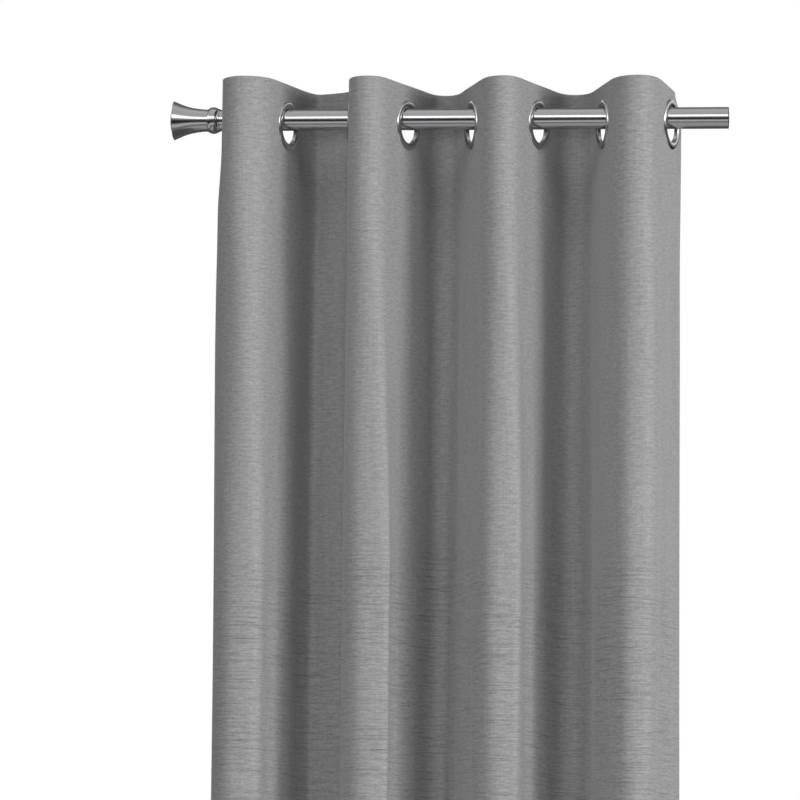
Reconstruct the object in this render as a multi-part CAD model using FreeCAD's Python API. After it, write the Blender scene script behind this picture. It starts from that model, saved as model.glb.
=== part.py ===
"""Eyelet curtain panel hung on a round rod with a trumpet finial.

Units are millimetres. +Z is up, +X runs along the rod to its open end, and the
room side faces -Y. The origin is on the rod's axis at its open end, where a
bracket or the next length of rod takes it.
The cloth runs in folds along a plan curve that crosses the rod once at every
eyelet. It is cut at the fold crests into leaves, so that each leaf can turn
about the crest it shares with the next one while the panel is drawn.
"""
import FreeCAD, Part
import math
import os

V = FreeCAD.Vector
os.makedirs("parts", exist_ok=True)

# ---- driving dimensions -------------------------------------------------
PANEL_LENGTH = 2134.0        # hem to top edge, an 84 in drop
TOP_Z = 40.0                 # top edge of the cloth above the rod's axis
HEADER_DEPTH = 100.0         # turned-over header
HEM_DEPTH = 95.0             # double-turned bottom hem
FABRIC_T = 0.6               # one layer of the woven cloth
STIFF_T = 0.5                # header band
CLOTH_PITCH = 168.0          # eyelet to eyelet along the cloth
EDGE_CLOTH = 72.5            # last eyelet to the side edge along the cloth
FLAT_HALF = 31.0             # cloth held flat this far each side of an eyelet
SPLIT_GAP = 0.5              # half the gap between two leaves at a crest
STATION = 8.0                # spacing of the plan curve's arc pairs

EYELET_X = [-589.0, -519.0, -444.0, -377.0, -301.5, -223.0, -147.0, -67.5]
EYELET_LEAN = [-5.0, 16.5, 2.5, 21.0, 20.0, 19.5, 18.0, 14.5]   # from the Y axis
EYELET_SIDE = [-1, 1, -1, 1, -1, 1, -1, 1]                     # -1 runs to the room side
# apex x from mid gap, apex slope, roundness left and right of the apex
CREST = [(-8.5, 0.05, 0.62, 0.62), (-9.0, -0.35, 0.30, 0.42), (-5.0, 0.03, 0.75, 0.62),
         (0.0, 0.0, 0.62, 0.60), (4.0, 0.0, 0.62, 0.60), (0.0, 0.0, 0.62, 0.62),
         (6.0, 0.0, 0.60, 0.60)]
LEFT_EDGE = (-595.0, 71.5)   # side hem at the finial end
RIGHT_EDGE = (-63.9, 71.5)   # side hem at the open end

ROD_R = 12.7
ROD_WALL = 1.3
ROD_X0, ROD_X1 = -614.5, 0.0
SEAT_R, SEAT_LEN = 11.95, 27.0    # bore opened out where the finial's spigot sits

EYELET_IR = 20.75            # hole of the finished eyelet
EYELET_OR = 29.35
SLEEVE_T = 0.8
EYELET_Z = -7.6              # the eyelets hang on top of the rod

COLLAR_X0, COLLAR_X1 = ROD_X0, ROD_X0 + 14.4
COLLAR_R = 15.8
SPIGOT_X1 = ROD_X0 + 25.0

Z0 = TOP_Z - PANEL_LENGTH
HALF_T = FABRIC_T + STIFF_T / 2.0        # half of the whole header
FACE_IN = STIFF_T / 2.0                  # inner side of the face layer
HEM_T = 2 * FABRIC_T - FACE_IN           # back of the two turned hem layers


def export(shape, name):
    assert shape.isValid(), name
    shape.exportStep("parts/" + name + ".step")
    b = shape.BoundBox
    print(name, round(shape.Volume, 1), [round(v, 1) for v in
          (b.XMin, b.XMax, b.YMin, b.YMax, b.ZMin, b.ZMax)])


# ---- plan curve ---------------------------------------------------------
def bezier(p0, p1, p2, p3, n):
    out = []
    for k in range(n + 1):
        t = k / float(n)
        a, b, c, d = (1 - t) ** 3, 3 * (1 - t) ** 2 * t, 3 * (1 - t) * t * t, t ** 3
        out.append((a * p0[0] + b * p1[0] + c * p2[0] + d * p3[0],
                    a * p0[1] + b * p1[1] + c * p2[1] + d * p3[1]))
    return out


def along(i):
    a = math.radians(EYELET_LEAN[i])
    return (math.sin(a), EYELET_SIDE[i] * math.cos(a))


def add(p, d, s):
    return (p[0] + d[0] * s, p[1] + d[1] * s)


def crest_curve(i, depth, n=48):
    """Cloth from the flat beside eyelet i to the flat beside eyelet i + 1."""
    u0, u1 = along(i), along(i + 1)
    p0 = add((EYELET_X[i], 0.0), u0, FLAT_HALF)
    p3 = add((EYELET_X[i + 1], 0.0), u1, -FLAT_HALF)
    shift, slope, k0, k1 = CREST[i]
    ap = ((EYELET_X[i] + EYELET_X[i + 1]) / 2.0 + shift, EYELET_SIDE[i] * depth)
    h = math.hypot(1.0, slope)
    t = (1.0 / h, slope / h)
    left = bezier(p0, add(p0, u0, abs(ap[1] - p0[1]) * 0.5),
                  add(ap, t, -abs(ap[0] - p0[0]) * k0), ap, n)
    right = bezier(ap, add(ap, t, abs(p3[0] - ap[0]) * k1),
                   add(p3, u1, -abs(ap[1] - p3[1]) * 0.5), p3, n)
    return left + right[1:]


def length(points):
    return sum(math.dist(a, b) for a, b in zip(points, points[1:]))


def solved_crest(i):
    lo, hi = 40.0, 110.0
    for _ in range(50):
        mid = (lo + hi) / 2.0
        if length(crest_curve(i, mid)) + 2 * FLAT_HALF < CLOTH_PITCH:
            lo = mid
        else:
            hi = mid
    return crest_curve(i, mid)


def edge_curve(i, end, sign, n=24):
    """Cloth from the flat beside the first or last eyelet to its side edge."""
    u = along(i)
    p0 = add((EYELET_X[i], 0.0), u, sign * FLAT_HALF)
    h = length([p0, end])
    p1 = add(p0, u, sign * h * 0.4)
    lean = (end[0] - p0[0]) * 0.5 / h
    p2 = (end[0] - lean * h * 0.4, end[1] - h * 0.4)
    return bezier(p0, p1, p2, end, n)


CRESTS = [solved_crest(i) for i in range(7)]
PIVOT_X = [(EYELET_X[i] + EYELET_X[i + 1]) / 2.0 for i in range(7)]


def split_at(points, x):
    """Both halves of a crest curve, cut SPLIT_GAP short of x on each side."""
    def cut(seq, limit, keep_low):
        out = []
        for a, b in zip(seq, seq[1:]):
            out.append(a)
            if (a[0] - limit) * (b[0] - limit) <= 0 and a[0] != b[0]:
                t = (limit - a[0]) / (b[0] - a[0])
                out.append((limit, a[1] + t * (b[1] - a[1])))
                return out
        return out
    left = cut(points, x - SPLIT_GAP, True)
    right = cut(points[::-1], x + SPLIT_GAP, False)[::-1]
    return left, right


def pivot_y(i):
    pts = CRESTS[i]
    for a, b in zip(pts, pts[1:]):
        if (a[0] - PIVOT_X[i]) * (b[0] - PIVOT_X[i]) <= 0 and a[0] != b[0]:
            t = (PIVOT_X[i] - a[0]) / (b[0] - a[0])
            return a[1] + t * (b[1] - a[1])


def leaf_stations(i):
    """(point, direction) pairs along leaf i, straight only beside its eyelet."""
    if i == 0:
        left = edge_curve(0, LEFT_EDGE, -1.0)[::-1]
    else:
        left = split_at(CRESTS[i - 1], PIVOT_X[i - 1])[1]
    if i == 7:
        right = edge_curve(7, RIGHT_EDGE, 1.0)
    else:
        right = split_at(CRESTS[i], PIVOT_X[i])[0]
    u = along(i)
    return stations(left, None, u) + stations(right, u, None)


def stations(points, start_dir, end_dir):
    """Evenly spaced (point, direction) pairs on a dense run of points."""
    run = [0.0]
    for a, b in zip(points, points[1:]):
        run.append(run[-1] + math.dist(a, b))
    count = max(3, int(round(run[-1] / STATION)))
    out = []
    for k in range(count + 1):
        s = run[-1] * k / count

        def at(v):
            v = min(max(v, 0.0), run[-1])
            j = next(j for j in range(1, len(run)) if v <= run[j] + 1e-9)
            t = (v - run[j - 1]) / max(run[j] - run[j - 1], 1e-9)
            a, b = points[j - 1], points[j]
            return (a[0] + t * (b[0] - a[0]), a[1] + t * (b[1] - a[1]))
        p, a, b = at(s), at(s - 1.5), at(s + 1.5)
        d = math.dist(a, b)
        out.append((p, ((b[0] - a[0]) / d, (b[1] - a[1]) / d)))
    if start_dir:
        out[0] = (out[0][0], start_dir)
    if end_dir:
        out[-1] = (out[-1][0], end_dir)
    return out


def arc_chain(pairs):
    """Two tangent arcs between neighbours, each as three (point, direction) pairs."""
    chain = []
    for (p0, t0), (p1, t1) in zip(pairs, pairs[1:]):
        v = (p1[0] - p0[0], p1[1] - p0[1])
        vt = v[0] * (t0[0] + t1[0]) + v[1] * (t0[1] + t1[1])
        c = 2.0 * (1.0 - t0[0] * t1[0] - t0[1] * t1[1])
        vv = v[0] ** 2 + v[1] ** 2
        d = (math.sqrt(vt * vt + c * vv) - vt) / c if c > 1e-9 else vv / (2 * vt)
        j = ((p0[0] + d * t0[0] + p1[0] - d * t1[0]) / 2.0,
             (p0[1] + d * t0[1] + p1[1] - d * t1[1]) / 2.0)
        tj = mirrored(t0, (j[0] - p0[0], j[1] - p0[1]))
        chain += [arc(p0, t0, j, tj), arc(j, tj, p1, t1)]
    return chain


def mirrored(t, chord):
    """Direction at the far end of the arc that leaves along t over the chord."""
    h = math.hypot(chord[0], chord[1])
    c = (chord[0] / h, chord[1] / h)
    k = 2.0 * (t[0] * c[0] + t[1] * c[1])
    return (k * c[0] - t[0], k * c[1] - t[1])


def arc(p0, t0, p1, t1):
    a0, a1 = math.atan2(t0[1], t0[0]), math.atan2(t1[1], t1[0])
    turn = (a1 - a0 + math.pi) % (2 * math.pi) - math.pi
    mid_dir = (math.cos(a0 + turn / 2.0), math.sin(a0 + turn / 2.0))
    mid = ((p0[0] + p1[0]) / 2.0, (p0[1] + p1[1]) / 2.0)
    if abs(turn) < 2e-4:
        return ((p0, t0), None, (p1, t1))
    # middle of the arc: off the chord by the sagitta, on the outside of the turn
    h = math.dist(p0, p1)
    sag = h / 2.0 * math.tan(turn / 4.0)
    mid = (mid[0] + mid_dir[1] * sag, mid[1] - mid_dir[0] * sag)
    return ((p0, t0), (mid, mid_dir), (p1, t1))


def offset(pair, n, z):
    """The pair's point moved n toward the room side of the cloth."""
    (x, y), (dx, dy) = pair
    return V(x + n * dy, y - n * dx, z)


def layer(chain, n0, n1, z0, z1):
    """One layer of the leaf between two offsets and two heights."""
    def side(n):
        out = []
        for a, m, b in chain:
            p, q = offset(a, n, z0), offset(b, n, z0)
            if m:
                out.append(Part.Arc(p, offset(m, n, z0), q).toShape())
            else:
                out.append(Part.LineSegment(p, q).toShape())
        return out
    first, last = chain[0][0], chain[-1][2]
    edges = side(n0) + side(n1)
    edges.append(Part.LineSegment(offset(first, n0, z0), offset(first, n1, z0)).toShape())
    edges.append(Part.LineSegment(offset(last, n0, z0), offset(last, n1, z0)).toShape())
    face = Part.Face(Part.Wire(Part.__sortEdges__(edges)))
    s = face.extrude(V(0, 0, z1 - z0))
    return s if s.Volume > 0 else s.reversed()


def placed(shape, i):
    """From local axes (hole along +X, room side at +X) to eyelet i."""
    u = along(i)
    face = V(u[1], -u[0], 0)
    angle = math.degrees(math.atan2(face.y, face.x))
    out = shape.copy()
    out.rotate(V(0, 0, 0), V(0, 0, 1), angle)
    out.translate(V(EYELET_X[i], 0, EYELET_Z))
    return out


def turned(profile):
    """Solid of revolution about X from closed (x, r) points and arcs."""
    edges = []
    for a, b in zip(profile, profile[1:] + profile[:1]):
        if len(a) == 4:
            edges.append(Part.Arc(V(a[0], 0, a[1]), V(a[2], 0, a[3]),
                                  V(b[0], 0, b[1])).toShape())
        else:
            edges.append(Part.LineSegment(V(a[0], 0, a[1]), V(b[0], 0, b[1])).toShape())
    face = Part.Face(Part.Wire(edges))
    s = face.revolve(V(0, 0, 0), V(1, 0, 0), 360)
    return s if s.Volume > 0 else s.reversed()


# ---- cloth leaves, stiffener and eyelets --------------------------------
HEADER_Z = TOP_Z - HEADER_DEPTH


def leaf_solid(chain):
    """Face layer, header turned over at the top, and the hem at the bottom."""
    parts = [layer(chain, HALF_T, -HEM_T, Z0, Z0 + HEM_DEPTH),
             layer(chain, HALF_T, FACE_IN, Z0 + HEM_DEPTH, HEADER_Z),
             layer(chain, HALF_T, -HALF_T, HEADER_Z, HEADER_Z + 1.0),
             layer(chain, HALF_T, FACE_IN, HEADER_Z + 1.0, TOP_Z - 1.0),
             layer(chain, -FACE_IN, -HALF_T, HEADER_Z + 1.0, TOP_Z - 1.0),
             layer(chain, HALF_T, -HALF_T, TOP_Z - 1.0, TOP_Z)]
    return parts[0].multiFuse(parts[1:]).removeSplitter()


def band_solid(chain):
    return layer(chain, FACE_IN - 0.05, -FACE_IN + 0.05, HEADER_Z + 1.5, TOP_Z - 1.4)


hole_r = EYELET_IR + SLEEVE_T + 0.15
punch = Part.makeCylinder(hole_r, 16.0, V(-8.0, 0, 0), V(1, 0, 0))

front = turned([(-2.4, EYELET_IR), (-2.4, EYELET_IR + SLEEVE_T),
                (HALF_T + 0.05, EYELET_IR + SLEEVE_T), (HALF_T + 0.05, EYELET_OR - 0.1),
                (HALF_T + 0.3, EYELET_OR, 2.25, 28.1), (2.75, 25.8, 2.45, 22.6),
                (1.4, EYELET_IR)])
back = turned([(-HALF_T - 0.05, EYELET_IR + SLEEVE_T + 0.1), (-HALF_T - 0.05, EYELET_OR - 0.3),
               (-HALF_T - 0.3, EYELET_OR - 0.3, -2.05, 27.9), (-2.45, 25.6, -2.4, 23.6),
               (-2.05, EYELET_IR + SLEEVE_T + 0.1)])

for i in range(8):
    chain = arc_chain(leaf_stations(i))
    cutter = placed(punch, i)
    export(leaf_solid(chain).cut(cutter), "cloth_leaf_%d" % (i + 1))
    export(band_solid(chain).cut(cutter), "header_stiffener_%d" % (i + 1))
    export(placed(front, i), "eyelet_front_%d" % (i + 1))
    export(placed(back, i), "eyelet_back_%d" % (i + 1))

for i in range(7):
    print("pivot", i + 1, round(PIVOT_X[i], 3), round(pivot_y(i), 3))

# ---- rod and finial -----------------------------------------------------
rod = Part.makeCylinder(ROD_R, ROD_X1 - ROD_X0, V(ROD_X0, 0, 0), V(1, 0, 0))
bore = Part.makeCylinder(ROD_R - ROD_WALL, ROD_X1 - ROD_X0 + 2, V(ROD_X0 - 1, 0, 0), V(1, 0, 0))
seat = Part.makeCylinder(SEAT_R, SEAT_LEN + 1, V(ROD_X0 - 1, 0, 0), V(1, 0, 0))
rod = rod.cut(bore).cut(seat)
export(rod, "rod_tube")

# flared trumpet: (x, outer radius) from the rim to the neck, then the spigot
FLARE = [(ROD_X0 + x, r) for x, r in
         [(-40.4, 23.0), (-36.6, 21.4), (-31.9, 19.4), (-27.2, 17.6), (-22.5, 16.15),
          (-17.7, 15.0), (-12.9, 14.2), (-8.2, 13.6), (-4.0, 13.2), (-0.2, 13.1)]]
outer = Part.BSplineCurve()
outer.interpolate([V(x, 0, r) for x, r in FLARE])
MOUTH = [(ROD_X0 + x, r) for x, r in
         [(-39.6, 20.9), (-35.0, 18.6), (-30.0, 16.5), (-25.0, 14.7), (-20.0, 13.2)]]
inner = Part.BSplineCurve()
inner.interpolate([V(x, 0, r) for x, r in MOUTH])
spigot_r = SEAT_R - 0.05
loop = [outer.toShape(),
        Part.makePolygon([V(FLARE[-1][0], 0, FLARE[-1][1]), V(FLARE[-1][0], 0, spigot_r),
                          V(SPIGOT_X1 - 1.0, 0, spigot_r), V(SPIGOT_X1, 0, spigot_r - 1.0),
                          V(SPIGOT_X1, 0, 0), V(MOUTH[-1][0], 0, 0), V(MOUTH[-1][0], 0, MOUTH[-1][1])]),
        inner.toShape(),
        Part.makePolygon([V(MOUTH[0][0], 0, MOUTH[0][1]), V(ROD_X0 - 40.4, 0, 21.2),
                          V(ROD_X0 - 40.9, 0, 22.2), V(FLARE[0][0], 0, FLARE[0][1])])]
edges = []
for item in loop:
    edges += item.Edges
trumpet = Part.Face(Part.Wire(Part.__sortEdges__(edges))).revolve(V(0, 0, 0), V(1, 0, 0), 360)
if trumpet.Volume < 0:
    trumpet.reverse()
export(trumpet, "finial_trumpet")

# shallow domed disc closing the mouth
CAP_BACK, CAP_FRONT, CAP_R, DOME = ROD_X0 - 39.4, ROD_X0 - 44.6, 20.65, 4.0
dome_r = (CAP_R ** 2 + DOME ** 2) / (2 * DOME)
cap = Part.makeCylinder(CAP_R, CAP_BACK - CAP_FRONT + 1, V(CAP_FRONT - 1, 0, 0), V(1, 0, 0))
cap = cap.common(Part.makeSphere(dome_r, V(CAP_FRONT + dome_r, 0, 0)))
export(cap, "finial_cap")

# beaded collar over the rod's end, with a plain shoulder on the cloth side
mid = (COLLAR_X0 + COLLAR_X1) / 2.0 - 0.45
collar = turned([(COLLAR_X0 + 0.1, ROD_R + 0.05), (COLLAR_X0 + 0.1, 13.5),
                 (COLLAR_X0 + 0.9, 13.7, mid, COLLAR_R), (COLLAR_X1 - 1.8, 13.7),
                 (COLLAR_X1 - 0.4, 13.7), (COLLAR_X1, 13.3), (COLLAR_X1, ROD_R + 0.05)])
screw_hole = Part.makeCylinder(2.05, 6.0, V(mid, 0, -17.0), V(0, 0, 1))
collar = collar.cut(screw_hole)
export(collar, "finial_collar")

screw = Part.makeCylinder(2.0, 2.3, V(mid, 0, -15.1), V(0, 0, 1))
hexagon = Part.Face(Part.makePolygon([V(mid + 1.15 * math.cos(math.radians(60 * k)),
                                        1.15 * math.sin(math.radians(60 * k)), -15.2)
                                      for k in range(7)]))
screw = screw.cut(hexagon.extrude(V(0, 0, 1.3)))
export(screw, "collar_screw")
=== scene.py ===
import math

import bpy
import numpy as np
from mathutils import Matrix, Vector


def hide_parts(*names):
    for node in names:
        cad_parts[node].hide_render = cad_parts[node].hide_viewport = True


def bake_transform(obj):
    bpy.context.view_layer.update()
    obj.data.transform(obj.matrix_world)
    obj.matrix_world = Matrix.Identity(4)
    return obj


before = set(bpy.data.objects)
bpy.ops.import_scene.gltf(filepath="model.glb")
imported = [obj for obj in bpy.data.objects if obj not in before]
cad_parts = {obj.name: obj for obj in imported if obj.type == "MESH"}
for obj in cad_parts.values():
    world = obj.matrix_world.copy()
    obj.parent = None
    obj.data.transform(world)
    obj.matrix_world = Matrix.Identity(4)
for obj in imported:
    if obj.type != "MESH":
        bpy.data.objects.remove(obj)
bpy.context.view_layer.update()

MM = 0.001
scene = bpy.context.scene

# ---- sizes, in millimetres, as in the CAD -------------------------------
TOP_Z, LENGTH = 40.0, 2134.0
Z0 = TOP_Z - LENGTH
HEADER_Z = TOP_Z - 100.0
HEM_Z = Z0 + 95.0
FACE, FACE_IN, BACK, HEM_BACK = 0.85, 0.25, 0.85, 0.95
SIDE_HEM = 24.0
PITCH, EDGE = 168.0, 72.5
EX = [-589.0, -519.0, -444.0, -377.0, -301.5, -223.0, -147.0, -67.5]
SIDE = [-1, 1, -1, 1, -1, 1, -1, 1]
EZ = -7.6
S_E = [EDGE + PITCH * k for k in range(8)]
S_END = S_E[7] + EDGE

# The same cloth, as it is held by the eyelets and as it hangs further down.
HELD = dict(
    lean=[-5.0, 16.5, 2.5, 21.0, 20.0, 19.5, 18.0, 14.5], half=[31.0] * 8,
    crest=[(-8.5, 0.05, 0.62, 0.62), (-9.0, -0.35, 0.30, 0.42), (-5.0, 0.03, 0.75, 0.62),
           (0.0, 0.0, 0.62, 0.60), (4.0, 0.0, 0.62, 0.60), (0.0, 0.0, 0.62, 0.62),
           (6.0, 0.0, 0.60, 0.60)],
    left=(-595.0, 71.5), right=(-63.9, 71.5))
LOOSE = dict(
    lean=[-5.0, 17.0, 5.0, 20.0, 22.0, 19.0, 20.0, 12.0], half=[22.0] * 8,
    crest=[(-2.0, 0.10, 0.66, 0.64), (-9.0, -0.30, 0.34, 0.46), (6.0, 0.14, 0.76, 0.66),
           (0.0, 0.0, 0.62, 0.60), (10.0, 0.10, 0.64, 0.64), (0.0, 0.0, 0.60, 0.60),
           (12.0, 0.12, 0.60, 0.60)],
    left=(-597.0, 70.5), right=(-60.5, 72.0))
LOW = dict(
    lean=[-4.0, 17.0, 5.0, 20.0, 22.0, 19.0, 20.0, 12.0], half=[20.0] * 8,
    crest=[(10.0, 0.16, 0.78, 0.90), (-9.0, -0.24, 0.40, 0.50), (23.0, 0.24, 0.88, 0.92),
           (0.0, 0.0, 0.62, 0.60), (25.0, 0.20, 0.80, 0.92), (0.0, 0.0, 0.60, 0.60),
           (17.0, 0.20, 0.68, 0.66)],
    left=(-596.0, 71.0), right=(-60.8, 72.0))


# ---- plan of the folds --------------------------------------------------
def bezier(p0, p1, p2, p3, n):
    t = np.linspace(0, 1, n + 1)[:, None]
    return (1 - t) ** 3 * p0 + 3 * (1 - t) ** 2 * t * p1 + 3 * (1 - t) * t * t * p2 + t ** 3 * p3


def run(points):
    return float(np.linalg.norm(np.diff(points, axis=0), axis=1).sum())


def plan(c):
    """x, y of the cloth for every 1 mm along it, from the left edge to the right."""
    def u(i):
        a = math.radians(c["lean"][i])
        return np.array([math.sin(a), SIDE[i] * math.cos(a)])

    def e(i):
        return np.array([EX[i], 0.0])

    def crest(i, depth, n=60):
        h0, h1 = c["half"][i], c["half"][i + 1]
        p0, p3 = e(i) + u(i) * h0, e(i + 1) - u(i + 1) * h1
        shift, slope, k0, k1 = c["crest"][i]
        ap = np.array([(EX[i] + EX[i + 1]) / 2 + shift, SIDE[i] * depth])
        t = np.array([1.0, slope]) / math.hypot(1.0, slope)
        left = bezier(p0, p0 + u(i) * abs(ap[1] - p0[1]) * 0.5, ap - t * abs(ap[0] - p0[0]) * k0, ap, n)
        right = bezier(ap, ap + t * abs(p3[0] - ap[0]) * k1, p3 - u(i + 1) * abs(ap[1] - p3[1]) * 0.5, p3, n)
        return np.vstack([left, right[1:]])

    def edge(i, end, sign):
        end = np.array(end)
        p0 = e(i) + u(i) * sign * c["half"][i]
        h = np.linalg.norm(end - p0)
        lean = (end[0] - p0[0]) * 0.5 / h
        out = bezier(p0, p0 + u(i) * sign * h * 0.4,
                     np.array([end[0] - lean * h * 0.4, end[1] - h * 0.4]), end, 40)
        return out

    s_all, p_all = [], []

    def put(points, s0, s1):
        d = np.concatenate([[0], np.cumsum(np.linalg.norm(np.diff(points, axis=0), axis=1))])
        s_all.append(s0 + d / d[-1] * (s1 - s0))
        p_all.append(points)

    put(np.vstack([edge(0, c["left"], -1)[::-1], e(0)[None]]), 0.0, S_E[0])
    for i in range(7):
        lo, hi = 35.0, 115.0
        for _ in range(45):
            mid = (lo + hi) / 2
            if run(crest(i, mid)) + c["half"][i] + c["half"][i + 1] < PITCH:
                lo = mid
            else:
                hi = mid
        put(np.vstack([e(i)[None], crest(i, mid), e(i + 1)[None]]), S_E[i], S_E[i + 1])
    put(np.vstack([e(7)[None], edge(7, c["right"], 1)]), S_E[7], S_END)
    s, p = np.concatenate(s_all), np.vstack(p_all)
    keep = np.concatenate([[True], np.diff(s) > 1e-6])
    s, p = s[keep], p[keep]
    grid = np.arange(-20.0, S_END + 20.5, 0.5)
    q = np.stack([np.interp(grid, s, p[:, k]) for k in range(2)], 1)
    lo_dir = (q[60] - q[44]) / 8.0
    hi_dir = (q[-45] - q[-61]) / 8.0
    for k, g in enumerate(grid):
        if g < 0:
            q[k] = p[0] + lo_dir * g
        elif g > S_END:
            q[k] = p[-1] + hi_dir * (g - S_END)
    w = np.exp(-0.5 * (np.arange(-12, 13) / 5.0) ** 2)
    w /= w.sum()
    smooth = np.stack([np.convolve(q[:, k], w, "same") for k in range(2)], 1)
    smooth[:12], smooth[-12:] = q[:12], q[-12:]
    return grid, smooth


GRID, P_HELD = plan(HELD)
_, P_LOOSE = plan(LOOSE)
_, P_LOW = plan(LOW)


def ease(x):
    x = np.clip(x, 0.0, 1.0)
    return x * x * (3 - 2 * x)


def on_plan(table, s):
    return np.stack([np.interp(s, GRID, table[:, k]) for k in range(2)], -1)


def mid_surface(s, z):
    """x, y of the middle of the header at cloth coordinate s and height z."""
    b = (ease((HEADER_Z + 25 - z) / 230.0))[..., None]
    low = np.clip((-240.0 - z) / 520.0, 0.0, 1.4)
    c = ease((-190.0 - z) / 360.0)[..., None]
    p = on_plan(P_HELD, s) * (1 - b) + (on_plan(P_LOOSE, s) * (1 - c) + on_plan(P_LOW, s) * c) * b
    # long, shallow unevenness of hanging cloth, none at the eyelets
    free = ease((-40.0 - z) / 260.0)
    n = 1.1 * np.sin(s * 0.031 + z * 0.0021 + 0.6) + 0.9 * np.sin(s * 0.067 - z * 0.0037 + 1.9)
    n += 0.5 * np.sin(s * 0.147 + z * 0.0052 + 4.1)
    d = on_plan(P_LOOSE, s + 1.5) - on_plan(P_LOOSE, s - 1.5)
    d /= np.linalg.norm(d, axis=-1, keepdims=True)
    face = np.stack([d[..., 1], -d[..., 0]], -1)
    p = p + face * (n * free)[..., None]
    # the sides drift a little on the way down, and the open end leans in at the top
    left = 10.2 * ease((-34.0 - z) / 80.0) - 6.9 * np.clip((-200.0 - z) / 600.0, 0, 1)
    p[..., 0] -= left * ease((135.0 - s) / 70.0)
    p[..., 0] += 3.8 * low * ease((s - (S_END - 95.0)) / 95.0)
    p[..., 0] -= 7.0 * ease((z + 15.0) / 55.0) * ease((s - (S_END - 75.0)) / 75.0)
    p[..., 0] -= 3.4 * ease((z - 10.0) / 30.0) * ease((s - (S_END - 130.0)) / 70.0)
    return p


def face_dir(s, z):
    d = mid_surface(s + 1.0, z) - mid_surface(s - 1.0, z)
    d /= np.linalg.norm(d, axis=-1, keepdims=True)
    return np.stack([d[..., 1], -d[..., 0]], -1)


def offsets(s, z):
    """How far the face and the back of the cloth stand off the middle surface."""
    header = ease((z - (HEADER_Z - 0.8)) / 1.6)
    hem = ease(((HEM_Z + 0.8) - z) / 1.6)
    side = np.maximum(ease((SIDE_HEM + 0.8 - s) / 1.6), ease((s - (S_END - SIDE_HEM - 0.8)) / 1.6))
    back = -FACE_IN + (BACK + FACE_IN) * np.maximum(header, 0.0)
    back = np.maximum(back, -FACE_IN + (HEM_BACK + FACE_IN) * np.maximum(hem, side))
    face = np.full_like(back, FACE)
    mid = (face - back) / 2
    half = (face + back) / 2
    # rounded folded edges all round
    r = np.maximum(half, 0.2)
    to_edge = np.minimum.reduce([TOP_Z - z, z - Z0, s, S_END - s])
    x = np.clip(to_edge / r, 0.0, 1.0)
    half = half * np.maximum(np.sqrt(np.clip(1 - (1 - x) ** 2, 0, 1)), 0.12)
    # the seams pull the cloth in a little
    seam = 0.25 * np.exp(-((z - (HEADER_Z + 3)) / 1.3) ** 2) + np.exp(-((z - (HEM_Z - 3)) / 1.3) ** 2)
    seam += np.exp(-((s - (SIDE_HEM - 2.5)) / 1.3) ** 2) + np.exp(-((s - (S_END - SIDE_HEM + 2.5)) / 1.3) ** 2)
    return mid + half - 0.12 * seam, -(mid - half) - 0.12 * seam


def surface(s, z, layer):
    m, n = mid_surface(s, z), face_dir(s, z)
    f, b = offsets(s, z)
    p = m + n * (f if layer > 0 else -b)[..., None]
    lift = 2.0 * ease((z - 22.0) / 18.0) * ease((640.0 - s) / 420.0)
    lift = lift - 10.0 * ease((z + 5.0) / 45.0) * ease((s - (S_END - 36.0)) / 36.0)
    lift = lift - 3.4 * ease((z - 10.0) / 30.0) * ease((s - (S_END - 130.0)) / 90.0)
    return np.concatenate([p, (z + lift)[..., None]], -1)


def surface_normal(s, z, layer):
    h = 0.35
    ds = surface(s + h, z, layer) - surface(s - h, z, layer)
    dz = surface(s, z + h, layer) - surface(s, z - h, layer)
    n = np.cross(ds, dz)
    n /= np.maximum(np.linalg.norm(n, axis=-1, keepdims=True), 1e-12)
    return n * layer


# ---- a strip of cloth from one eyelet to the next -----------------------
def lines(lo, hi, step, extra=()):
    """Grid lines from lo to hi about step apart, through every one of extra."""
    fixed = sorted({lo, hi, *[e for e in extra if lo < e < hi]})
    out = [lo]
    for a, b in zip(fixed, fixed[1:]):
        n = max(1, int(round((b - a) / step)))
        out += [a + (b - a) * k / n for k in range(1, n + 1)]
    return out


PATCH, HOLE, CELL = 36.0, 23.6, 3.0
z_fine = [Z0 + d for d in (0.15, 0.5, 1.0, 1.5)] + [HEM_Z + d for d in (-5, -3, -1.5, -0.8, 0, 0.8, 1.6)]
z_fine += [HEADER_Z + d for d in (-1.6, -0.8, 0, 0.8, 1.5, 3.0, 4.5)] + [TOP_Z - d for d in (0.12, 0.45, 0.9, 1.5)]


def z_lines():
    low = lines(Z0, HEADER_Z - 1.6, 9.0, [z for z in z_fine if z < HEADER_Z - 1.5])
    mid = lines(HEADER_Z - 1.6, EZ - PATCH, 4.0, [z for z in z_fine if HEADER_Z - 1.6 < z < EZ - PATCH])
    patch = [EZ - PATCH + CELL * k for k in range(int(2 * PATCH / CELL) + 1)]
    top = lines(EZ + PATCH, TOP_Z, 3.0, [z for z in z_fine if z > EZ + PATCH])
    return low[:-1] + mid[:-1] + patch + top[1:]


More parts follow.
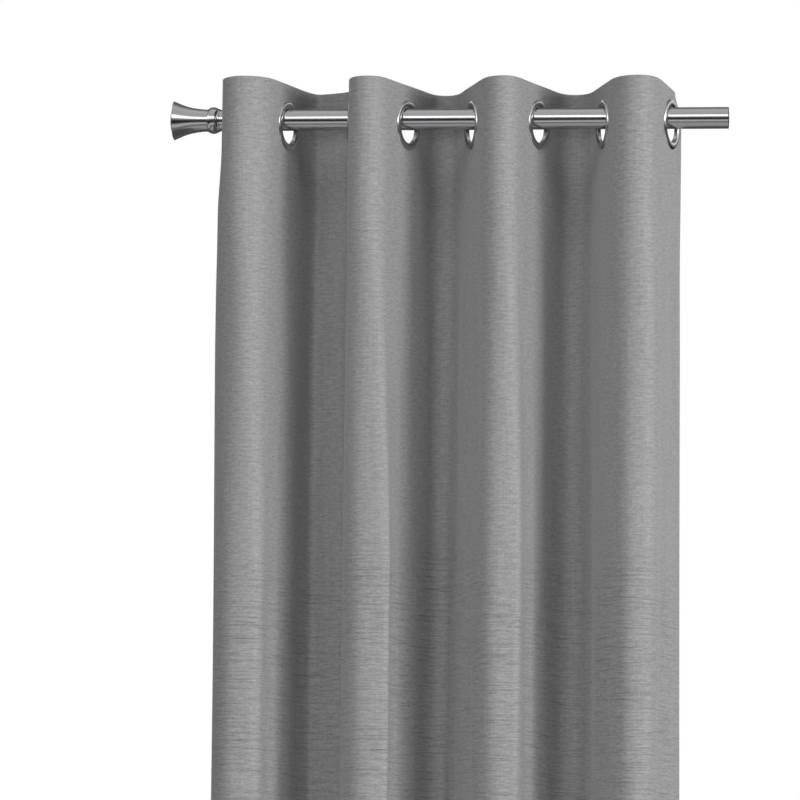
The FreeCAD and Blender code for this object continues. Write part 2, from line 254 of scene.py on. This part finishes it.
def strip(index):
    s0 = 0.0 if index == 0 else S_E[index]
    s1 = S_END if index == 6 else S_E[index + 1]
    eyes = [S_E[index], S_E[index + 1]]
    marks = []
    for e in eyes:
        marks += [v for v in (e - PATCH, e, e + PATCH) if s0 <= v <= s1]
    fine = [0.15, 0.5, 1.0, 1.6, SIDE_HEM - 5, SIDE_HEM - 2.5, SIDE_HEM - 0.8, SIDE_HEM, SIDE_HEM + 0.8, SIDE_HEM + 1.6]
    marks += [v for f in fine for v in (f, S_END - f) if s0 < v < s1]
    ss = lines(s0, s1, CELL, marks)
    zz = z_lines()
    # inside a patch the columns are exactly CELL apart
    clean = []
    for v in ss:
        inside = [e for e in eyes if abs(v - e) <= PATCH + 1e-6]
        if inside and abs((v - inside[0]) / CELL - round((v - inside[0]) / CELL)) > 1e-6:
            continue
        clean.append(v)
    for e in eyes:
        for k in range(-int(PATCH / CELL), int(PATCH / CELL) + 1):
            v = e + k * CELL
            if s0 - 1e-9 <= v <= s1 + 1e-9 and min(abs(v - c) for c in clean) > 1e-6:
                clean.append(v)
    ss = sorted(clean)
    verts, index_of, quads = [], {}, []

    def vid(s, z):
        key = (round(s, 4), round(z, 4))
        if key not in index_of:
            index_of[key] = len(verts)
            verts.append((s, z))
        return index_of[key]

    def in_patch(s, z):
        return abs(z - EZ) < PATCH and any(abs(s - e) < PATCH for e in eyes)

    for a, b in zip(ss, ss[1:]):
        for c, d in zip(zz, zz[1:]):
            if in_patch((a + b) / 2, (c + d) / 2):
                continue
            quads.append((vid(a, c), vid(b, c), vid(b, d), vid(a, d)))
    n = int(PATCH / CELL)
    for e in eyes:
        ring = []
        for k in range(-n, n + 1):
            ring.append((e + k * CELL, EZ - PATCH))
        for k in range(-n + 1, n + 1):
            ring.append((e + PATCH, EZ + k * CELL))
        for k in range(n - 1, -n - 1, -1):
            ring.append((e + k * CELL, EZ + PATCH))
        for k in range(n - 1, -n, -1):
            ring.append((e - PATCH, EZ + k * CELL))
        loop = ring + ring[:1]
        rows = 6
        for (sa, za), (sb, zb) in zip(loop, loop[1:]):
            if not (s0 - 1e-6 <= (sa + sb) / 2 <= s1 + 1e-6):
                continue

            def point(s, z, k):
                if k == rows:
                    return vid(s, z)
                dx, dz = s - e, z - EZ
                r = math.hypot(dx, dz)
                cx, cz = dx / r * HOLE, dz / r * HOLE
                t = (k / rows) ** 1.2
                return vid(e + cx + (dx - cx) * t, EZ + cz + (dz - cz) * t)

            for k in range(rows):
                quads.append((point(sa, za, k + 1), point(sb, zb, k + 1),
                              point(sb, zb, k), point(sa, za, k)))
    sz = np.array(verts)
    q = np.array(quads)
    # all quads the same way round as seen from the room side
    a = sz[q[:, 1]] - sz[q[:, 0]]
    b = sz[q[:, 3]] - sz[q[:, 0]]
    flip = (a[:, 0] * b[:, 1] - a[:, 1] * b[:, 0]) < 0
    q[flip] = q[flip][:, ::-1]
    return sz, q


SEGMENTS = 3


def build_strip(index):
    sz, q = strip(index)
    s, z = sz[:, 0], sz[:, 1]
    n = len(sz)
    front, back = surface(s, z, 1), surface(s, z, -1)
    nf, nb = surface_normal(s, z, 1), surface_normal(s, z, -1)
    count = {}
    for face in q:
        for a, b in zip(face, np.roll(face, -1)):
            count[(a, b)] = 1
    rim = [(a, b) for a, b in count if (b, a) not in count]
    walls = [(b, a, a + n, b + n) for a, b in rim]
    faces = [tuple(f) for f in q] + [tuple(f[::-1] + n) for f in q] + walls
    mesh = bpy.data.meshes.new(f"curtain_cloth_{index + 1}")
    co = np.vstack([front, back]) * MM
    mesh.from_pydata(co.tolist(), [], [tuple(int(v) for v in f) for f in faces])
    mesh.validate(clean_customdata=False)
    mesh.update()
    obj = bpy.data.objects.new(mesh.name, mesh)
    scene.collection.objects.link(obj)
    # cloth coordinates in metres for the weave, and a tidy map of its own for each layer
    nq = len(q)
    weave = mesh.uv_layers.new(name="weave")
    tidy = mesh.uv_layers.new(name="OFBake")
    both = np.concatenate([sz, sz])
    normals = np.vstack([nf, nb])
    s_lo, s_hi = s.min(), s.max()
    loops_v = np.zeros(len(mesh.loops), np.int32)
    mesh.loops.foreach_get("vertex_index", loops_v)
    w = both[loops_v] * MM
    weave.data.foreach_set("uv", w.astype(np.float32).ravel())
    custom = normals[loops_v].copy()
    uv = np.zeros((len(mesh.loops), 2), np.float32)
    columns = 2 * SEGMENTS
    for p in mesh.polygons:
        li = np.arange(p.loop_start, p.loop_start + p.loop_total)
        v = loops_v[li]
        at = both[v]
        layer = 0 if p.index < nq else 1
        seg = min(SEGMENTS - 1, int((at[:, 1].mean() - Z0) / LENGTH * SEGMENTS))
        u = (at[:, 0] - s_lo) / (s_hi - s_lo)
        t = (at[:, 1] - Z0) / LENGTH * SEGMENTS - seg
        col = layer * SEGMENTS + seg
        if p.index >= 2 * nq:
            layer_side = (v >= n)
            u = np.clip(u, 0.002, 0.998)
            custom[li] = np.array(p.normal)
        uv[li, 0] = (col + 0.02 + 0.96 * u) / columns
        uv[li, 1] = 0.01 + 0.98 * np.clip(t, -0.005, 1.005)
        p.use_smooth = True
    tidy.data.foreach_set("uv", uv.ravel())
    mesh.uv_layers.active = weave
    custom /= np.maximum(np.linalg.norm(custom, axis=1, keepdims=True), 1e-9)
    mesh.normals_split_custom_set(custom.tolist())
    mesh.materials.append(cloth_material())
    return obj


# ---- materials ----------------------------------------------------------
def new_material(name, base, metallic=0.0, roughness=0.5):
    m = bpy.data.materials.new(name)
    m.use_nodes = True
    b = m.node_tree.nodes["Principled BSDF"]
    b.inputs["Base Color"].default_value = (*base, 1)
    b.inputs["Metallic"].default_value = metallic
    b.inputs["Roughness"].default_value = roughness
    return m, m.node_tree, b


_made = {}


def node(nt, kind, **props):
    n = nt.nodes.new(kind)
    for k, v in props.items():
        setattr(n, k, v)
    return n


def noise(nt, vector, scale, detail=2.0, rough=0.5):
    mapping = node(nt, "ShaderNodeMapping")
    mapping.inputs["Scale"].default_value = scale
    nt.links.new(vector, mapping.inputs["Vector"])
    t = node(nt, "ShaderNodeTexNoise")
    t.inputs["Scale"].default_value = 1.0
    t.inputs["Detail"].default_value = detail
    t.inputs["Roughness"].default_value = rough
    nt.links.new(mapping.outputs["Vector"], t.inputs["Vector"])
    return t.outputs["Fac"]


def math_node(nt, op, a, b=None, clamp=False):
    n = node(nt, "ShaderNodeMath", operation=op, use_clamp=clamp)
    for k, v in enumerate((a, b)):
        if v is None:
            continue
        if isinstance(v, (int, float)):
            n.inputs[k].default_value = v
        else:
            nt.links.new(v, n.inputs[k])
    return n.outputs[0]


def scaled(nt, value, centre, gain):
    """(value - centre) * gain"""
    return math_node(nt, "MULTIPLY", math_node(nt, "SUBTRACT", value, centre), gain)


def cloth_material():
    if "cloth" in _made:
        return _made["cloth"]
    m, nt, b = new_material("linen_look_weave", (0.33, 0.33, 0.33), 0.0, 0.9)
    uv = node(nt, "ShaderNodeUVMap", uv_map="weave").outputs["UV"]
    # slubs: thick places in the cross threads, long and thin, stronger toward the hem
    slub = noise(nt, uv, (85.0, 400.0, 1.0), 2.0, 0.55)
    long = noise(nt, uv, (15.0, 400.0, 1.0), 1.0, 0.5)
    fine = noise(nt, uv, (240.0, 620.0, 1.0), 1.0, 0.5)
    down = noise(nt, uv, (620.0, 12.0, 1.0), 1.5, 0.5)
    cloud = noise(nt, uv, (9.0, 5.0, 1.0), 2.0, 0.5)
    lowness = node(nt, "ShaderNodeMapRange", interpolation_type="SMOOTHSTEP")
    split = node(nt, "ShaderNodeSeparateXYZ")
    nt.links.new(uv, split.inputs[0])
    wander = math_node(nt, "ADD", split.outputs["Y"], scaled(nt, cloud, 0.5, 0.12))
    nt.links.new(wander, lowness.inputs["Value"])
    for key, v in (("From Min", -0.47), ("From Max", -0.56), ("To Min", 0.0), ("To Max", 1.0)):
        lowness.inputs[key].default_value = v
    lowness = lowness.outputs["Result"]
    streak = math_node(nt, "MAXIMUM", math_node(nt, "SUBTRACT", long, 0.56), 0.0)
    streak = math_node(nt, "MULTIPLY", streak, math_node(nt, "ADD", math_node(nt, "MULTIPLY", lowness, -2.4), -0.35))
    tone = streak
    for v, gain in ((slub, 0.62), (fine, 0.52), (down, 0.20), (cloud, 0.08)):
        tone = math_node(nt, "ADD", tone, scaled(nt, v, 0.5, gain))
    tone = math_node(nt, "ADD", tone, math_node(nt, "MULTIPLY", scaled(nt, long, 0.5, 0.95), lowness))
    # threads of the plain weave
    sep = node(nt, "ShaderNodeSeparateXYZ")
    nt.links.new(uv, sep.inputs[0])
    warp = math_node(nt, "SINE", math_node(nt, "MULTIPLY", sep.outputs["X"], 2 * math.pi / 0.0011))
    weft = math_node(nt, "SINE", math_node(nt, "MULTIPLY", sep.outputs["Y"], 2 * math.pi / 0.0013))
    weave = math_node(nt, "MULTIPLY", warp, weft)
    tone = math_node(nt, "ADD", tone, math_node(nt, "MULTIPLY", weave, 0.02))
    gain = math_node(nt, "ADD", tone, 1.0)

    def stitch(coordinate, at, along):
        """1 on the stitches of a row at coordinate = at, with stitches 3 mm long along the row."""
        near = math_node(nt, "LESS_THAN", math_node(nt, "ABSOLUTE", math_node(nt, "SUBTRACT", coordinate, at)), 0.0005)
        wave = math_node(nt, "SINE", math_node(nt, "MULTIPLY", along, 2 * math.pi / 0.0032))
        return math_node(nt, "MULTIPLY", near, math_node(nt, "GREATER_THAN", wave, -0.6))

    x, y = sep.outputs["X"], sep.outputs["Y"]
    rows = math_node(nt, "MULTIPLY", stitch(y, (HEADER_Z + 3) * MM, x), 0.12)
    for row in (stitch(y, (HEM_Z - 3) * MM, x), stitch(x, (SIDE_HEM - 2.5) * MM, y),
                stitch(x, (S_END - SIDE_HEM + 2.5) * MM, y)):
        rows = math_node(nt, "MAXIMUM", rows, row)
    gain = math_node(nt, "SUBTRACT", gain, math_node(nt, "MULTIPLY", rows, 0.14))
    colour = node(nt, "ShaderNodeVectorMath", operation="SCALE")
    colour.inputs[0].default_value = (0.335, 0.335, 0.337)
    nt.links.new(gain, colour.inputs["Scale"])
    nt.links.new(colour.outputs[0], b.inputs["Base Color"])
    height = math_node(nt, "ADD", math_node(nt, "MULTIPLY", slub, 0.5), math_node(nt, "MULTIPLY", fine, 0.35))
    height = math_node(nt, "ADD", height, math_node(nt, "MULTIPLY", down, 0.25))
    height = math_node(nt, "ADD", height, math_node(nt, "MULTIPLY", weave, 0.08))
    height = math_node(nt, "ADD", height, math_node(nt, "MULTIPLY", rows, -0.5))
    bump = node(nt, "ShaderNodeBump")
    bump.inputs["Strength"].default_value = 0.35
    bump.inputs["Distance"].default_value = 0.0006
    nt.links.new(height, bump.inputs["Height"])
    nt.links.new(bump.outputs["Normal"], b.inputs["Normal"])
    b.inputs["Specular IOR Level"].default_value = 0.2
    b.inputs["Sheen Weight"].default_value = 0.25
    b.inputs["Sheen Roughness"].default_value = 0.45
    _made["cloth"] = m
    return m


def steel(name, base, rough, along, lines_gain=0.0):
    """Polished metal with fine drawn lines along or round the piece."""
    m, nt, b = new_material(name, base, 1.0, rough)
    obj = node(nt, "ShaderNodeTexCoord").outputs["Object"]
    grain = noise(nt, obj, along, 3.0, 0.6)
    r = math_node(nt, "ADD", scaled(nt, grain, 0.5, lines_gain), rough, clamp=True)
    nt.links.new(r, b.inputs["Roughness"])
    bump = node(nt, "ShaderNodeBump")
    bump.inputs["Strength"].default_value = 0.15
    bump.inputs["Distance"].default_value = 0.00005
    nt.links.new(grain, bump.inputs["Height"])
    nt.links.new(bump.outputs["Normal"], b.inputs["Normal"])
    return m


rod_steel = steel("drawn_steel", (0.62, 0.62, 0.63), 0.16, (6.0, 900.0, 900.0), 0.10)
finial_steel = steel("turned_steel", (0.62, 0.62, 0.63), 0.16, (900.0, 40.0, 40.0), 0.10)
eyelet_chrome = steel("eyelet_chrome", (0.70, 0.70, 0.71), 0.20, (120.0, 120.0, 120.0), 0.08)
black_screw, _, _ = new_material("black_oxide", (0.03, 0.03, 0.03), 0.6, 0.45)

for name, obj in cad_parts.items():
    mat = None
    if name.startswith("eyelet"):
        mat = eyelet_chrome
    elif name == "rod_tube":
        mat = rod_steel
    elif name.startswith("finial"):
        mat = finial_steel
    elif name == "collar_screw":
        mat = black_screw
    if mat:
        if not obj.material_slots:
            obj.data.materials.append(mat)
        for slot in obj.material_slots:
            slot.material = mat

# ---- the cloth ----------------------------------------------------------
strips = []
for k in range(7):
    o = build_strip(k)
    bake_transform(o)
    nodes = [f"cloth_leaf_{k + 1}", f"header_stiffener_{k + 1}"]
    if k == 6:
        nodes += ["cloth_leaf_8", "header_stiffener_8"]
    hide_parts(*nodes)
    strips.append(o)

# ---- stage, light and camera --------------------------------------------
bpy.ops.mesh.primitive_circle_add(vertices=96, radius=9.0, fill_type="NGON", location=(-0.33, 0, Z0 * MM - 0.012))
floor = bpy.context.object
floor.name = "floor"
floor_mat, _, floor_b = new_material("pale_floor", (0.86, 0.86, 0.86), 0.0, 0.7)
floor.data.materials.append(floor_mat)
floor.visible_glossy = False


def area(name, at, look, size, power, size_y=None):
    light = bpy.data.lights.new(name, "AREA")
    light.shape = "RECTANGLE"
    light.size, light.size_y = size, size_y or size
    light.energy = power
    o = bpy.data.objects.new(name, light)
    scene.collection.objects.link(o)
    o.location = at
    o.rotation_mode = "QUATERNION"
    o.rotation_quaternion = (Vector(look) - Vector(at)).to_track_quat("-Z", "Y")
    o.visible_glossy = False
    return o


AIM = Vector((-0.33, 0, -0.85))


def softbox(name, azimuth, elevation, level, distance=5.5):
    """A soft light aimed at the panel; azimuth is to the right of straight in front."""
    a, e = math.radians(azimuth), math.radians(elevation)
    at = AIM + Vector((math.sin(a) * math.cos(e), -math.cos(a) * math.cos(e), math.sin(e))) * distance
    area(name, at, AIM, 1.4, 9.87 * distance ** 2 * level, 2.2)


softbox("key_right", 58, 5, 0.454)
softbox("key_right_2", 42, 5, 0.154)
softbox("rim_right", 82, 5, 0.075)
softbox("front_left", -12, 5, 0.197)
softbox("front_left_2", -30, 5, 0.105)
softbox("top", 0, 60, 0.179)
softbox("behind", 158, 20, 0.32)

world = bpy.data.worlds.new("studio")
scene.world = world
world.use_nodes = True
nt = world.node_tree
nt.nodes.clear()
out = nt.nodes.new("ShaderNodeOutputWorld")
path = nt.nodes.new("ShaderNodeLightPath")
geo = nt.nodes.new("ShaderNodeTexCoord")
sep = nt.nodes.new("ShaderNodeSeparateXYZ")
nt.links.new(geo.outputs["Generated"], sep.inputs[0])
el = math_node(nt, "MULTIPLY_ADD", math_node(nt, "ARCSINE", sep.outputs["Z"]), 1 / math.pi)
el.node.inputs[2].default_value = 0.5
ramp = nt.nodes.new("ShaderNodeValToRGB")
ramp.color_ramp.interpolation = "LINEAR"
stops = [(-90, 0.42), (-62, 0.40), (-55, 0.18), (-47, 0.16), (-42, 0.55), (-31, 0.62), (-25, 0.20),
         (-19, 0.02), (-8, 0.02), (2, 0.22), (9, 0.55), (12, 2.6), (23, 2.6), (27, 0.55), (36, 0.50),
         (60, 0.55), (90, 0.62)]
ramp.color_ramp.elements.remove(ramp.color_ramp.elements[1])
for k, (deg, v) in enumerate(stops):
    at = (deg + 90) / 180
    e = ramp.color_ramp.elements[0] if k == 0 else ramp.color_ramp.elements.new(at)
    e.position = at
    e.color = (v, v, v, 1)
nt.links.new(el, ramp.inputs["Fac"])
gloss = nt.nodes.new("ShaderNodeBackground")
nt.links.new(ramp.outputs["Color"], gloss.inputs["Color"])
# the room is dim behind the panel
behind = nt.nodes.new("ShaderNodeMapRange")
nt.links.new(sep.outputs["Y"], behind.inputs["Value"])
for key, v in (("From Min", 0.05), ("From Max", 0.45), ("To Min", 1.0), ("To Max", 0.30)):
    behind.inputs[key].default_value = v
nt.links.new(behind.outputs["Result"], gloss.inputs["Strength"])
soft = nt.nodes.new("ShaderNodeBackground")
soft.inputs["Color"].default_value = (1, 1, 1, 1)
soft.inputs["Strength"].default_value = 0.012
seen = nt.nodes.new("ShaderNodeBackground")
seen.inputs["Color"].default_value = (1, 1, 1, 1)
seen.inputs["Strength"].default_value = 1.0
mix1 = nt.nodes.new("ShaderNodeMixShader")
nt.links.new(path.outputs["Is Glossy Ray"], mix1.inputs["Fac"])
nt.links.new(soft.outputs[0], mix1.inputs[1])
nt.links.new(gloss.outputs[0], mix1.inputs[2])
mix2 = nt.nodes.new("ShaderNodeMixShader")
nt.links.new(path.outputs["Is Camera Ray"], mix2.inputs["Fac"])
nt.links.new(mix1.outputs[0], mix2.inputs[1])
nt.links.new(seen.outputs[0], mix2.inputs[2])
nt.links.new(mix2.outputs[0], out.inputs["Surface"])

scene.view_settings.view_transform = "Standard"
scene.view_settings.look = "None"

YAW, PITCH_UP, ROLL = math.radians(6.4693), math.radians(6.2659), math.radians(0.75)
camera = bpy.data.cameras.new("camera")
camera.sensor_width, camera.lens = 36.0, 233.724
camera.clip_start, camera.clip_end = 0.05, 100.0
cam = bpy.data.objects.new("camera", camera)
scene.collection.objects.link(cam)
f = np.array([-math.sin(YAW) * math.cos(PITCH_UP), math.cos(YAW) * math.cos(PITCH_UP), math.sin(PITCH_UP)])
r = np.cross(f, [0, 0, 1])
r /= np.linalg.norm(r)
u = np.cross(r, f)
r, u = math.cos(ROLL) * r + math.sin(ROLL) * u, math.cos(ROLL) * u - math.sin(ROLL) * r
from mathutils import Matrix
cam.matrix_world = Matrix(((r[0], u[0], -f[0], 0.2982), (r[1], u[1], -f[1], -6.0),
                           (r[2], u[2], -f[2], -0.995), (0, 0, 0, 1)))
scene.camera = cam
